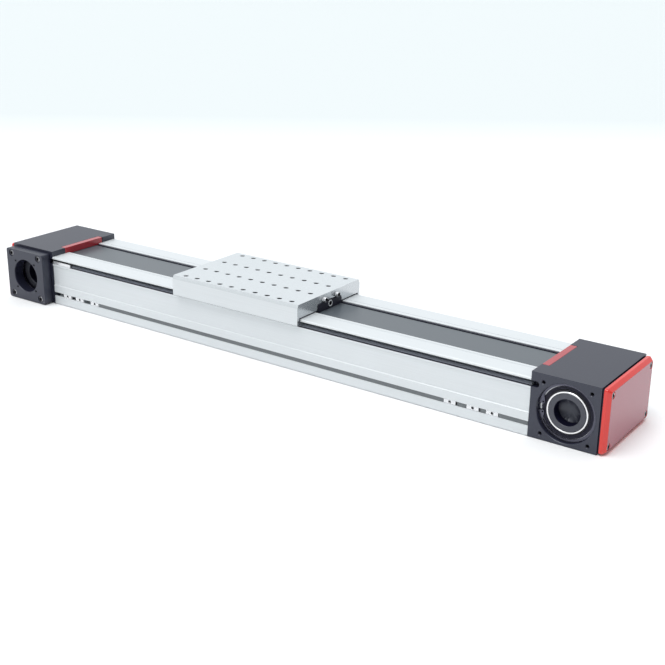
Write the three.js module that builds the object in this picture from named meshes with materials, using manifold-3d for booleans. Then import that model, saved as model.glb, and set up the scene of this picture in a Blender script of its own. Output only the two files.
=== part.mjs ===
// Belt-driven linear axis: extruded profile with two inner rail guides, a carriage on four guide
// blocks, and a belt running over a hollow-shaft pulley in each end head.
//
// Frame, in millimetres: X along the axis (drive head at -X, idler head at +X), Y across it with
// the motor flange facing -Y, Z up. The origin is at mid-length and mid-width, on the underside.

import * as THREE from "three";
import { mergeVertices } from "three/addons/utils/BufferGeometryUtils.js";
import Module from "manifold-3d";

const wasm = await Module();
wasm.setup();

// ---------------------------------------------------------------- driving dimensions

const GAP = 0.3; // air left between two pieces that touch
const ROUND = 32; // facets on the large bores
const RING_ROUND = 24; // facets on the pulleys and bearing rings
const SMALL_ROUND = 12; // facets on holes and screws

// extruded profile
const PROFILE_HALF_LENGTH = 488.5;
const HALF_WIDTH = 80;
const PROFILE_TOP = 90;
const CHANNEL_HALF = 38; // open belt channel in the top, above its ledge
const CHANNEL_LEDGE = 82.4;
const CHANNEL_LOWER_HALF = 33.5; // channel below the ledge
const CHANNEL_FLOOR = 79.2;
const COVER_UNDERSIDE = 86.3; // underside of the two top cover strips
const SLOT_SILL = 76.5; // lower edge of the long slot in each side
const SIDE_RECESS_Y = 78.8; // side wall between the ledge and the slot
const CAVITY_IN = 38.5; // guide cavity, from this Y ...
const CAVITY_OUT = 75.5; // ... to this Y
const CAVITY_STEP_Z = 79.8; // above this height the cavity starts further out
const CAVITY_TOP_IN = 42;
const CAVITY_FLOOR = 51.2;
const TSLOT_Z = 19.2;
const TSLOT_HALF_MOUTH = 3.4;
const TSLOT_LIP_Y = 78;
const TSLOT_BOTTOM_Y = 66;

// belt drive, 24 teeth of 10 mm pitch
const AXLE_X = 543.5;
const AXLE_Z = 48;
const TEETH = 24;
const TOOTH_PITCH = 10;
const PITCH_RADIUS = (TEETH * TOOTH_PITCH) / (2 * Math.PI);
const BELT_BACK_RADIUS = PITCH_RADIUS + 1.06;
const BELT_THICKNESS = 4.5;
const BELT_HALF_WIDTH = 32;
const TIP_RADIUS = 37.3;
const ROOT_RADIUS = 34.8;
const PULLEY_RIM_RADIUS = 41.5;
const BELT_TOP = AXLE_Z + BELT_BACK_RADIUS;

// end heads
const HEAD_IN = PROFILE_HALF_LENGTH + GAP;
const HEAD_OUT = 593.5;
const HEAD_TOP = 100;
const PULLEY_ROOM_RADIUS = 43.2;
const PULLEY_ROOM_HALF = 35.2;
const SEAT_RADIUS = 42.8; // bearing seat
const MOUTH_RADIUS = 44.2; // wider mouth in front of the bearing
const POCKET_X = 496.9; // centre of the round end of the side pockets
const POCKET_Z = 81.4;
const POCKET_HALF = 4.6;
const BOLT_X = 36; // bolt pattern round the bore
const BOLT_Z = 39;
const BOLT_HOLE_RADIUS = 2.7; // M6 core and clearance for a plain shank

// bearing, 60 x 85 x 13
const BEARING_IN_Y = 58.7;
const BEARING_OUT_Y = 71.7;
const SHAFT_RADIUS = 29.8;
const SHAFT_END_Y = 74.5;
const SHAFT_NOSE_RADIUS = 28.4;
const SHAFT_BORE_RADIUS = 20;

// red end caps and bumper strips
const CAP_IN = HEAD_OUT + GAP;
const CAP_OUT = 606;
const CAP_EDGE = 600.5; // the outer edge is chamfered from here
const CAP_SCREW_Y = 69;
const CAP_TOP = { left: 97.5, right: 99 }; // the left cap stays below the top of its head
const CAP_SCREW_Z = { left: [11.5, 87], right: [11.5, 88.5] };
const BUMPER_OUT = 500;
const BUMPER_HALF = 47.5;
const BUMPER_BOTTOM = 87.6;

// motor flange on the drive head
const FLANGE_BACK = -(HALF_WIDTH + GAP);
const FLANGE_FACE = -100;
const FLANGE_HALF_X = 48.5;
const FLANGE_HALF_Z = 47.5;
const FLANGE_BORE_RADIUS = 30.75;
const MOTOR_BOLT = 25.25;

// carriage
const CARRIAGE_X = -47.5;
const CARRIAGE_HALF = 132.5;
const CARRIAGE_TOP = 115;
const SKIRT_OUT = 87.5;
const SKIRT_IN = 82.5;
const SKIRT_BOTTOM = 80;
const WEB_IN = 43; // inner edge of the web that carries the guide blocks
const WIPER_OUT = 1.5; // the wiper plate stands on the end face
const WIPER_SCREW_Y = 17.4;
const WIPER_SCREW_Z = 106.9;
const PORT_Z = 96;
const HOLE_PITCH = 25;
const HOLE_RADIUS = 4.3; // core of an M10 thread

// guide rails and blocks
const RAIL_Y = 57;
const RAIL_BASE = CAVITY_FLOOR + GAP;
const BLOCK_OFFSET = 92;
const BLOCK_HALF = 30.7;

// ---------------------------------------------------------------- materials

function finish(color, roughness, metalness) {
  return () => new THREE.MeshStandardMaterial({ color, roughness, metalness });
}

const LOOK = {
  profile: finish(0xd3d9dc, 0.42, 0.6),
  carriage: finish(0xdbe0e3, 0.45, 0.5),
  black: finish(0x23232f, 0.5, 0.4),
  red: finish(0xc9352f, 0.25, 0.0),
  bumper: finish(0xc25a52, 0.5, 0.0),
  belt: finish(0x6f767c, 0.6, 0.0),
  steel: finish(0xc4c7cb, 0.3, 0.95),
  bright: finish(0xe6e8ea, 0.18, 1.0),
  hub: finish(0x4b4e58, 0.45, 0.7),
  cover: finish(0x777c7e, 0.6, 0.0),
  rubber: finish(0x17181c, 0.8, 0.0),
};

// ---------------------------------------------------------------- geometry helpers

// Closed THREE geometry to a solid that can be cut and joined.
function solidOf(geometry) {
  const plain = geometry.clone();
  plain.deleteAttribute("normal");
  plain.deleteAttribute("uv");
  const merged = mergeVertices(plain, 1e-4);
  const vertices = merged.getAttribute("position").array;
  const triangles = Uint32Array.from(merged.getIndex().array);
  if (signedVolume(vertices, triangles) < 0) {
    for (let i = 0; i < triangles.length; i += 3) {
      [triangles[i], triangles[i + 1]] = [triangles[i + 1], triangles[i]];
    }
  }
  const vertProperties = new Float32Array(vertices);
  return new wasm.Manifold(new wasm.Mesh({ numProp: 3, vertProperties, triVerts: triangles }));
}

function signedVolume(v, t) {
  let sum = 0;
  for (let i = 0; i < t.length; i += 3) {
    const [a, b, c] = [t[i] * 3, t[i + 1] * 3, t[i + 2] * 3];
    sum += v[a] * (v[b + 1] * v[c + 2] - v[b + 2] * v[c + 1]);
    sum += v[a + 1] * (v[b + 2] * v[c] - v[b] * v[c + 2]);
    sum += v[a + 2] * (v[b] * v[c + 1] - v[b + 1] * v[c]);
  }
  return sum / 6;
}

function geometryOf(solid) {
  const mesh = solid.getMesh();
  const geometry = new THREE.BufferGeometry();
  geometry.setAttribute("position", new THREE.BufferAttribute(mesh.vertProperties, 3));
  geometry.setIndex(new THREE.BufferAttribute(mesh.triVerts, 1));
  const flat = geometry.toNonIndexed();
  flat.computeVertexNormals();
  return flat;
}

function shapeOf(points) {
  return new THREE.Shape(points.map(([u, v]) => new THREE.Vector2(u, v)));
}

// Prism of an outline [y, z], from x0 to x1.
function prismX(points, x0, x1) {
  const options = { depth: x1 - x0, bevelEnabled: false };
  const geometry = new THREE.ExtrudeGeometry(shapeOf(points), options);
  const basis = new THREE.Matrix4().makeBasis(
    new THREE.Vector3(0, 1, 0),
    new THREE.Vector3(0, 0, 1),
    new THREE.Vector3(1, 0, 0),
  );
  return solidOf(geometry.applyMatrix4(basis).translate(x0, 0, 0));
}

// Prism of an outline [x, z], from y0 to y1.
function prismY(points, y0, y1) {
  const options = { depth: y1 - y0, bevelEnabled: false };
  const geometry = new THREE.ExtrudeGeometry(shapeOf(points), options);
  return solidOf(geometry.rotateX(Math.PI / 2).translate(0, y1, 0));
}

// Prism of an outline [x, y], from z0 to z1.
function prismZ(points, z0, z1) {
  const options = { depth: z1 - z0, bevelEnabled: false };
  const geometry = new THREE.ExtrudeGeometry(shapeOf(points), options);
  return solidOf(geometry.translate(0, 0, z0));
}

function block(x0, x1, y0, y1, z0, z1) {
  const geometry = new THREE.BoxGeometry(x1 - x0, y1 - y0, z1 - z0);
  geometry.translate((x0 + x1) / 2, (y0 + y1) / 2, (z0 + z1) / 2);
  return solidOf(geometry);
}

// Turned piece: profile [radius, height] round +Y, closed on the axis or on itself.
function turned(profile, segments) {
  const points = profile.map(([r, h]) => new THREE.Vector2(r, h));
  return new THREE.LatheGeometry(points, segments);
}

function turnedY(profile, x, z, segments = ROUND) {
  return solidOf(turned(profile, segments).translate(x, 0, z));
}

function cylinderY(radius, x, z, y0, y1, segments = SMALL_ROUND) {
  return turnedY([[0, y0], [radius, y0], [radius, y1], [0, y1]], x, z, segments);
}

function cylinderX(radius, y, z, x0, x1, segments = SMALL_ROUND) {
  const geometry = turned([[0, x0], [radius, x0], [radius, x1], [0, x1]], segments);
  return solidOf(geometry.rotateZ(-Math.PI / 2).translate(0, y, z));
}

function cylinderZ(radius, x, y, z0, z1, segments = SMALL_ROUND) {
  const geometry = turned([[0, z0], [radius, z0], [radius, z1], [0, z1]], segments);
  return solidOf(geometry.rotateX(Math.PI / 2).translate(x, y, 0));
}

function roundedRectangle(u0, u1, v0, v1, radius, steps = 4) {
  const corners = [
    [u1 - radius, v0 + radius, -Math.PI / 2],
    [u1 - radius, v1 - radius, 0],
    [u0 + radius, v1 - radius, Math.PI / 2],
    [u0 + radius, v0 + radius, Math.PI],
  ];
  const points = [];
  for (const [cu, cv, start] of corners) {
    for (let i = 0; i <= steps; i += 1) {
      const angle = start + (i / steps) * (Math.PI / 2);
      points.push([cu + radius * Math.cos(angle), cv + radius * Math.sin(angle)]);
    }
  }
  return points;
}

// Outline of the +Y half, bottom centre to top centre, mirrored to the whole section.
function mirrored(half) {
  const other = half.map(([y, z]) => [-y, z]).reverse();
  return [...half, ...other];
}

function cut(body, tools) {
  return tools.reduce((rest, tool) => rest.subtract(tool), body);
}

const model = new THREE.Group();
const ends = [["left", -1], ["right", 1]];
const faces = [["front", -1], ["rear", 1]];

function add(name, solid, look) {
  const mesh = new THREE.Mesh(geometryOf(solid), LOOK[look]());
  mesh.name = name;
  model.add(mesh);
}

// Interval between two distances from the origin, on the side given by sign.
function span(sign, near, far) {
  return sign > 0 ? [near, far] : [-far, -near];
}

// ---------------------------------------------------------------- profile and rails

function profile() {
  const half = [
    [79.2, 0],
    [HALF_WIDTH, 0.8],
    [HALF_WIDTH, TSLOT_Z - TSLOT_HALF_MOUTH],
    [TSLOT_LIP_Y, TSLOT_Z - TSLOT_HALF_MOUTH],
    [TSLOT_LIP_Y, TSLOT_Z - 5.8],
    [TSLOT_BOTTOM_Y + 2, TSLOT_Z - 5.8],
    [TSLOT_BOTTOM_Y, TSLOT_Z - 3.8],
    [TSLOT_BOTTOM_Y, TSLOT_Z + 3.8],
    [TSLOT_BOTTOM_Y + 2, TSLOT_Z + 5.8],
    [TSLOT_LIP_Y, TSLOT_Z + 5.8],
    [TSLOT_LIP_Y, TSLOT_Z + TSLOT_HALF_MOUTH],
    [HALF_WIDTH, TSLOT_Z + TSLOT_HALF_MOUTH],
    [HALF_WIDTH, 35.8],
    [SIDE_RECESS_Y, 37],
    [SIDE_RECESS_Y, 72.4],
    [HALF_WIDTH, 73.6],
    [HALF_WIDTH, SLOT_SILL],
    [CAVITY_OUT, SLOT_SILL],
    [CAVITY_OUT, CAVITY_FLOOR],
    [CAVITY_IN, CAVITY_FLOOR],
    [CAVITY_IN, CAVITY_STEP_Z],
    [CAVITY_TOP_IN, CAVITY_STEP_Z],
    [CAVITY_TOP_IN, COVER_UNDERSIDE],
    [HALF_WIDTH, COVER_UNDERSIDE],
    [HALF_WIDTH, PROFILE_TOP - 1.4],
    [HALF_WIDTH - 1.4, PROFILE_TOP],
    [46.6, PROFILE_TOP],
    [46.6, PROFILE_TOP - 0.7],
    [45.4, PROFILE_TOP - 0.7],
    [45.4, PROFILE_TOP],
    [CHANNEL_HALF + 0.6, PROFILE_TOP],
    [CHANNEL_HALF, PROFILE_TOP - 0.6],
    [CHANNEL_HALF, CHANNEL_LEDGE],
    [CHANNEL_LOWER_HALF, CHANNEL_LEDGE],
    [CHANNEL_LOWER_HALF, CHANNEL_FLOOR],
  ];
  const chambers = [
    [-34.5, 34.5, 54, 75.5],
    [-34.5, 34.5, 23.5, 50.5],
    [-CHANNEL_LOWER_HALF, CHANNEL_LOWER_HALF, 5, 19.5],
    [38.5, 75.5, 30, 47.5],
    [-75.5, -38.5, 30, 47.5],
    [38.5, 62, 4.5, 26],
    [-62, -38.5, 4.5, 26],
  ];
  const bar = prismX(mirrored(half), -PROFILE_HALF_LENGTH, PROFILE_HALF_LENGTH);
  const tools = chambers.map((sides) => block(-500, 500, ...sides));
  add("profile", cut(bar, tools), "profile");
}

// 15 mm rail with waisted flanks.
function rails() {
  const section = [
    [-7.5, 0], [7.5, 0], [7.5, 7.5], [6, 9], [6, 10.5], [7.5, 12], [7.5, 14.2], [6.7, 15],
    [-6.7, 15], [-7.5, 14.2], [-7.5, 12], [-6, 10.5], [-6, 9], [-7.5, 7.5],
  ];
  for (const [face, side] of faces) {
    const points = section.map(([y, z]) => [y + side * RAIL_Y, z + RAIL_BASE]);
    add(`rail_${face}`, prismX(points, -484, 484), "steel");
  }
}

// Strips and nuts in the lower T-slot of the front side.
function slotParts() {
  const nuts = [-455, -423, -384, 360.5, 399, 431];
  const strips = [[-373.5, -115.3], [-114.7, 349.5], [442, 488]];
  const [low, high] = [TSLOT_Z - 3.1, TSLOT_Z + 3.1];
  nuts.forEach((x, index) => {
    const neck = block(x - 10, x + 10, -79.6, -77, low, high);
    const foot = block(x - 10, x + 10, -77.6, -74.3, TSLOT_Z - 3.6, TSLOT_Z + 3.6);
    const thread = cylinderY(2.1, x, TSLOT_Z, -81, -73, 10);
    add(`slot_nut_${index + 1}`, neck.add(foot).subtract(thread), "bright");
  });
  strips.forEach(([x0, x1], index) => {
    const lid = block(x0, x1, -79.5, -77.3, low, high);
    const tongue = block(x0, x1, -77.6, -75.4, TSLOT_Z - 4.6, TSLOT_Z + 4.6);
    add(`slot_cover_${index + 1}`, lid.add(tongue), "cover");
  });
  const insert = block(-487.5, -443, -79.6, -75.9, SLOT_SILL + GAP, 82.4);
  add("slot_stop", insert, "bright");
}

// ---------------------------------------------------------------- end heads

function head(end, side) {
  const [x0, x1] = span(side, HEAD_IN, HEAD_OUT);
  const x = side * AXLE_X;
  const [mouth0, mouth1] = span(side, HEAD_IN - 1, AXLE_X);
  const [recess0, recess1] = span(side, HEAD_IN - 1, BUMPER_OUT + GAP);
  const [blind0, blind1] = span(side, HEAD_OUT - 14, HEAD_OUT + 1);
  const tools = [
    cylinderY(PULLEY_ROOM_RADIUS, x, AXLE_Z, -PULLEY_ROOM_HALF, PULLEY_ROOM_HALF, RING_ROUND),
    cylinderY(36, x, AXLE_Z, -60, 60, RING_ROUND),
    block(mouth0, mouth1, -CHANNEL_LOWER_HALF, CHANNEL_LOWER_HALF, 80.5, 88),
    block(mouth0, mouth1, -CHANNEL_LOWER_HALF, CHANNEL_LOWER_HALF, 8, 16),
    block(
      recess0, recess1, -(BUMPER_HALF + GAP), BUMPER_HALF + GAP, BUMPER_BOTTOM - GAP, HEAD_TOP + 1,
    ),
  ];
  for (const [, face] of faces) {
    const seat = span(face, BEARING_IN_Y - GAP, HALF_WIDTH + 1);
    const mouth = span(face, BEARING_OUT_Y + 0.1, HALF_WIDTH + 2);
    tools.push(cylinderY(SEAT_RADIUS, x, AXLE_Z, ...seat, ROUND));
    tools.push(cylinderY(MOUTH_RADIUS, x, AXLE_Z, ...mouth, ROUND));
    for (const dx of [-BOLT_X, BOLT_X]) {
      for (const dz of [-BOLT_Z, BOLT_Z]) {
        const tapped = span(face, HALF_WIDTH - 18, HALF_WIDTH + 1);
        tools.push(cylinderY(BOLT_HOLE_RADIUS, x + dx, AXLE_Z + dz, ...tapped, 12));
      }
    }
    // round-ended pocket that carries on the long side slot of the profile
    const [y0, y1] = span(face, HALF_WIDTH - 12, HALF_WIDTH + 1);
    const [pocket0, pocket1] = span(side, HEAD_IN - 1, POCKET_X);
    tools.push(block(pocket0, pocket1, y0, y1, POCKET_Z - POCKET_HALF, POCKET_Z + POCKET_HALF));
    tools.push(cylinderY(POCKET_HALF, side * POCKET_X, POCKET_Z, y0, y1));
  }
  for (const y of [-CAP_SCREW_Y, CAP_SCREW_Y]) {
    for (const z of CAP_SCREW_Z[end]) {
      tools.push(cylinderX(2.6, y, z, blind0, blind1, 10));
    }
  }
  add(`head_${end}`, cut(block(x0, x1, -HALF_WIDTH, HALF_WIDTH, 0, HEAD_TOP), tools), "black");
}

function bumper(end, side) {
  const [x0, x1] = span(side, HEAD_IN, BUMPER_OUT);
  const outline = roundedRectangle(x0, x1, -BUMPER_HALF, BUMPER_HALF, 1.5, 2);
  add(`bumper_${end}`, prismZ(outline, BUMPER_BOTTOM, HEAD_TOP), "bumper");
}

// Red cap with a chamfered rim and four counterbored screw holes.
function endCap(end, side) {
  const [x0, x1] = span(side, CAP_IN, CAP_OUT);
  const inset = 4.5;
  const rim = (half, low, high) => [
    [side * CAP_IN, low], [side * CAP_EDGE, low], [side * CAP_OUT, low + inset],
    [side * CAP_OUT, high - inset], [side * CAP_EDGE, high], [side * CAP_IN, high],
  ];
  const top = CAP_TOP[end];
  const plate = prismX(roundedRectangle(-79.5, 79.5, 1.5, top, 3), x0, x1);
  const sideView = prismY(rim(0, 1.5, top), -90, 90);
  const topView = prismZ(rim(0, -79.5, 79.5), -5, 105);
  const tools = [];
  for (const y of [-CAP_SCREW_Y, CAP_SCREW_Y]) {
    for (const z of CAP_SCREW_Z[end]) {
      tools.push(cylinderX(2.9, y, z, ...span(side, CAP_IN - 1, CAP_OUT + 1), 10));
      tools.push(cylinderX(5, y, z, ...span(side, CAP_OUT - 4, CAP_OUT + 1)));
    }
  }
  add(`end_cap_${end}`, cut(plate.intersect(sideView).intersect(topView), tools), "red");
}

// Socket-head screw along an axis: head from 0 to -headHeight, shank beyond it.
function socketScrew(headRadius, headHeight, shankRadius, shankLength, socketRadius) {
  const profilePoints = [
    [0, headHeight + shankLength], [shankRadius, headHeight + shankLength],
    [shankRadius, headHeight], [headRadius, headHeight], [headRadius, 0.5],
    [headRadius - 0.5, 0], [0, 0],
  ];
  const body = solidOf(turned(profilePoints, SMALL_ROUND));
  const socket = new THREE.CylinderGeometry(socketRadius, socketRadius, headHeight * 1.1, 6);
  return body.subtract(solidOf(socket));
}

function placed(solid, matrix) {
  const geometry = geometryOf(solid).applyMatrix4(matrix);
  return solidOf(geometry);
}

function capScrews(end, side) {
  const screw = socketScrew(4.6, 3.4, 2.3, 17, 2.3);
  let number = 0;
  for (const y of [-CAP_SCREW_Y, CAP_SCREW_Y]) {
    for (const z of CAP_SCREW_Z[end]) {
      number += 1;
      const turn = new THREE.Matrix4().makeRotationZ((side * Math.PI) / 2);
      const move = new THREE.Matrix4().makeTranslation(side * (CAP_OUT - 0.3), y, z);
      add(`cap_screw_${end}_${number}`, placed(screw, move.multiply(turn)), "steel");
    }
  }
}

function motorFlange() {
  const x = -AXLE_X;
  const plate = prismY(
    roundedRectangle(
      x - FLANGE_HALF_X, x + FLANGE_HALF_X, AXLE_Z - FLANGE_HALF_Z, AXLE_Z + FLANGE_HALF_Z, 4,
    ),
    FLANGE_FACE,
    FLANGE_BACK,
  );
  const tools = [cylinderY(FLANGE_BORE_RADIUS, x, AXLE_Z, FLANGE_FACE - 1, FLANGE_BACK + 1, ROUND)];
  for (const dx of [-1, 1]) {
    for (const dz of [-1, 1]) {
      const [hx, hz] = [x + dx * BOLT_X, AXLE_Z + dz * BOLT_Z];
      tools.push(cylinderY(6.1, hx, hz, FLANGE_FACE - 1, FLANGE_FACE + 6.8));
      tools.push(cylinderY(3.3, hx, hz, FLANGE_FACE + 6, FLANGE_BACK + 1));
      const [mx, mz] = [x + dx * MOTOR_BOLT, AXLE_Z + dz * MOTOR_BOLT];
      tools.push(cylinderY(2.1, mx, mz, FLANGE_FACE - 1, FLANGE_FACE + 12, 10));
    }
  }
  add("motor_flange", cut(plate, tools), "black");
  const screw = socketScrew(5, 6, 2.4, 24, 2.7);
  let number = 0;
  for (const dx of [-BOLT_X, BOLT_X]) {
    for (const dz of [-BOLT_Z, BOLT_Z]) {
      number += 1;
      const move = new THREE.Matrix4().makeTranslation(x + dx, FLANGE_FACE + 0.5, AXLE_Z + dz);
      add(`flange_screw_${number}`, placed(screw, move), "bright");
    }
  }
}

// ---------------------------------------------------------------- belt drive

// Ring with a rectangular section between two radii, from y0 to y1.
function ring(x, inner, outer, y0, y1) {
  const section = [[inner, y0], [outer, y0], [outer, y1], [inner, y1], [inner, y0]];
  return turnedY(section, x, AXLE_Z, RING_ROUND);
}

function bearing(end, side, face, sign) {
  const x = side * AXLE_X;
  // the outer ring carries the shield that closes the bearing on its open side
  const section = [
    [39.2, BEARING_IN_Y], [42.5, BEARING_IN_Y], [42.5, BEARING_OUT_Y], [34.4, BEARING_OUT_Y],
    [34.4, BEARING_OUT_Y - 1.5], [39.2, BEARING_OUT_Y - 1.5], [39.2, BEARING_IN_Y],
  ];
  const outer = turnedY(section.map(([r, y]) => [r, sign * y]), x, AXLE_Z, RING_ROUND);
  add(`bearing_outer_${end}_${face}`, outer, "steel");
  const inner = ring(x, 30.1, 33.8, ...span(sign, BEARING_IN_Y, BEARING_OUT_Y));
  add(`bearing_inner_${end}_${face}`, inner, "steel");
  const lock = ring(x, 28.7, 31.4, ...span(sign, BEARING_OUT_Y + GAP, BEARING_OUT_Y + 2.3));
  add(`lock_ring_${end}_${face}`, lock, "bright");
}

// Spring ring with two eyes that keeps the front bearing of the idler head in its seat.
function housingRing(end, side) {
  const [outer, inner, opening] = [43.9, 39.9, 0.14];
  const centre = Math.PI;
  const points = [];
  for (let i = 0; i <= 24; i += 1) {
    const angle = centre + opening + (i / 24) * (2 * Math.PI - 2 * opening);
    points.push([outer * Math.cos(angle), outer * Math.sin(angle)]);
  }
  for (const lug of [-1, 1]) {
    const from = centre + lug * opening;
    const to = centre + lug * (opening + 0.16);
    for (const angle of lug < 0 ? [from, to] : [to, from]) {
      points.push([36 * Math.cos(angle), 36 * Math.sin(angle)]);
    }
    if (lug < 0) {
      for (let i = 23; i >= 1; i -= 1) {
        const angle = centre + opening + (i / 24) * (2 * Math.PI - 2 * opening);
        points.push([inner * Math.cos(angle), inner * Math.sin(angle)]);
      }
    }
  }
  const outline = points.map(([u, v]) => [u + side * AXLE_X, v + AXLE_Z]);
  const [y0, y1] = [-(BEARING_OUT_Y + 2.2), -(BEARING_OUT_Y + 0.5)];
  add(`retaining_ring_${end}`, prismY(outline, y0, y1), "black");
}

function pulley(end, side, name) {
  const x = side * AXLE_X;
  const right = [
    [SHAFT_BORE_RADIUS, SHAFT_END_Y],
    [SHAFT_NOSE_RADIUS, SHAFT_END_Y],
    [SHAFT_NOSE_RADIUS, BEARING_OUT_Y + 0.1],
    [SHAFT_RADIUS, BEARING_OUT_Y + 0.1],
    [SHAFT_RADIUS, BEARING_IN_Y - GAP],
    [33, BEARING_IN_Y - GAP],
    [33, 34.7],
    [PULLEY_RIM_RADIUS, 34.7],
    [PULLEY_RIM_RADIUS, 32.7],
    [ROOT_RADIUS, 32.7],
  ];
  const left = right.map(([r, y]) => [r, -y]).reverse();
  const body = turnedY([...right, ...left, right[0]], x, AXLE_Z, RING_ROUND);
  const outline = [];
  const tooth = (2 * Math.PI) / TEETH;
  for (let i = 0; i < TEETH; i += 1) {
    for (const [share, radius] of [
      [-0.34, ROOT_RADIUS], [-0.16, TIP_RADIUS], [0.16, TIP_RADIUS], [0.34, ROOT_RADIUS],
    ]) {
      const angle = (i + share) * tooth;
      outline.push([x + radius * Math.cos(angle), AXLE_Z + radius * Math.sin(angle)]);
    }
  }
  const teeth = prismY(outline, -33.5, 33.5);
  const hole = cylinderY(26, x, AXLE_Z, -40, 40);
  add(name, body.add(teeth.subtract(hole)), "hub");
}

// Endless belt: thin round the pulleys, where its teeth would sit in the gaps, full on the runs.
function belt() {
  const steps = 16;
  const arc = (side, radius) => {
    const points = [];
    for (let i = 0; i <= steps; i += 1) {
      const angle = -Math.PI / 2 + (i / steps) * Math.PI;
      points.push([
        side * (AXLE_X + radius * Math.cos(angle)), AXLE_Z + side * radius * Math.sin(angle),
      ]);
    }
    return points;
  };
  const outer = [...arc(1, BELT_BACK_RADIUS), ...arc(-1, BELT_BACK_RADIUS)];
  const run = BELT_BACK_RADIUS - BELT_THICKNESS;
  const wrap = TIP_RADIUS + 0.25;
  const start = AXLE_X - 22;
  const inner = [
    [start, AXLE_Z - run], [start, AXLE_Z - wrap], ...arc(1, wrap), [start, AXLE_Z + wrap],
    [start, AXLE_Z + run], [-start, AXLE_Z + run], [-start, AXLE_Z + wrap], ...arc(-1, wrap),
    [-start, AXLE_Z - wrap], [-start, AXLE_Z - run],
  ];
  const band = prismY(outer, -BELT_HALF_WIDTH, BELT_HALF_WIDTH);
  add("belt", band.subtract(prismY(inner, -BELT_HALF_WIDTH - 1, BELT_HALF_WIDTH + 1)), "belt");
}

// ---------------------------------------------------------------- carriage

function carriagePlate() {
  const half = [
    [27, 102],
    [30.5, 100.5],
    [32, 97],
    [32, 92],
    [SKIRT_IN, 92],
    [SKIRT_IN, COVER_UNDERSIDE - 0.7],
    [WEB_IN, COVER_UNDERSIDE - 0.7],
    [WEB_IN, SKIRT_BOTTOM],
    [SKIRT_OUT - 0.8, SKIRT_BOTTOM],
    [SKIRT_OUT, SKIRT_BOTTOM + 0.8],
    [SKIRT_OUT, 109],
    [84.5, CARRIAGE_TOP],
  ];
  const [x0, x1] = [CARRIAGE_X - CARRIAGE_HALF, CARRIAGE_X + CARRIAGE_HALF];
  const tools = [];
  for (let column = 0; column < 10; column += 1) {
    const x = CARRIAGE_X + (column - 4.5) * HOLE_PITCH;
    for (const y of [-75, 75]) {
      tools.push(cylinderZ(HOLE_RADIUS, x, y, CARRIAGE_TOP - 18, CARRIAGE_TOP + 1));
    }
    for (const y of [-25, 25]) {
      tools.push(cylinderZ(HOLE_RADIUS, x, y, CARRIAGE_TOP - 12, CARRIAGE_TOP + 1));
    }
  }
  for (const [, side] of ends) {
    const face = CARRIAGE_X + side * CARRIAGE_HALF;
    for (const y of [-WIPER_SCREW_Y, WIPER_SCREW_Y]) {
      tools.push(cylinderX(2.5, y, WIPER_SCREW_Z, face - 12, face + 12, 10));
    }
  }
  add("carriage_plate", cut(prismX(mirrored(half), x0, x1), tools), "carriage");
}

function guideBlocks() {
  const half = [
    [7.9, 4.5], [17, 4.5], [17, 25.5], [14.5, 28.1], [0, 28.1],
  ];
  const section = [
    ...half, ...half.slice(0, 4).map(([y, z]) => [-y, z]).reverse(), [-7.9, 15.5], [7.9, 15.5],
  ];
  for (const [face, side] of faces) {
    const points = section.map(([y, z]) => [y + side * RAIL_Y, z + RAIL_BASE]);
    for (const [end, along] of ends) {
      const x = CARRIAGE_X + along * BLOCK_OFFSET;
      add(`guide_block_${end}_${face}`, prismX(points, x - BLOCK_HALF, x + BLOCK_HALF), "steel");
    }
  }
}

// Belt clamp, wiper block, its two screws and the grease port at each end of the carriage.
function carriageEnd(end, side) {
  const face = CARRIAGE_X + side * CARRIAGE_HALF;
  const at = (near, far) => span(side, near, far).map((x) => x + face);
  const inFace = (depth) => side * -depth + face;
  const bottom = BELT_TOP + GAP;
  const clamp = [[31.6, bottom], [31.6, 96.8], [30.2, 100.2], [27, 101.7]];
  const clampEnds = [inFace(6), inFace(80)].sort((a, b) => a - b);
  add(`belt_clamp_${end}`, prismX(mirrored(clamp), ...clampEnds), "hub");
  const plate = [[33, bottom], [33, 97.6], [31.4, 101], [28.2, 102.2]];
  const port = cylinderX(5.9, 0, PORT_Z, ...at(-1, 5), 16);
  add(`wiper_${end}`, prismX(mirrored(plate), ...at(GAP, WIPER_OUT)).subtract(port), "rubber");
  const socket = cylinderX(3.4, 0, PORT_Z, ...at(-2, 6), 16);
  const collar = cylinderX(5.6, 0, PORT_Z, ...at(-5.3, WIPER_OUT + 1.1), 16).subtract(socket);
  add(`grease_port_${end}`, collar, "bright");
  const screw = socketScrew(4.25, 6.5, 2.2, 10, 2.3);
  for (const [row, y] of [["a", -WIPER_SCREW_Y], ["b", WIPER_SCREW_Y]]) {
    const turn = new THREE.Matrix4().makeRotationZ((side * Math.PI) / 2);
    const move = new THREE.Matrix4().makeTranslation(face + side * 6.8, y, WIPER_SCREW_Z);
    add(`wiper_screw_${end}_${row}`, placed(screw, move.multiply(turn)), "bright");
  }
}

// ---------------------------------------------------------------- assembly

profile();
rails();
slotParts();
for (const [end, side] of ends) {
  head(end, side);
  bumper(end, side);
  endCap(end, side);
  for (const [face, sign] of faces) {
    bearing(end, side, face, sign);
  }
  carriageEnd(end, side);
}
capScrews("right", 1);
motorFlange();
housingRing("right", 1);
pulley("left", -1, "pulley_drive");
pulley("right", 1, "pulley_idler");
belt();
carriagePlate();
guideBlocks();

export default model;
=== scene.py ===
import math

import bmesh
import bpy
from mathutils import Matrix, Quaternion, Vector


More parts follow.
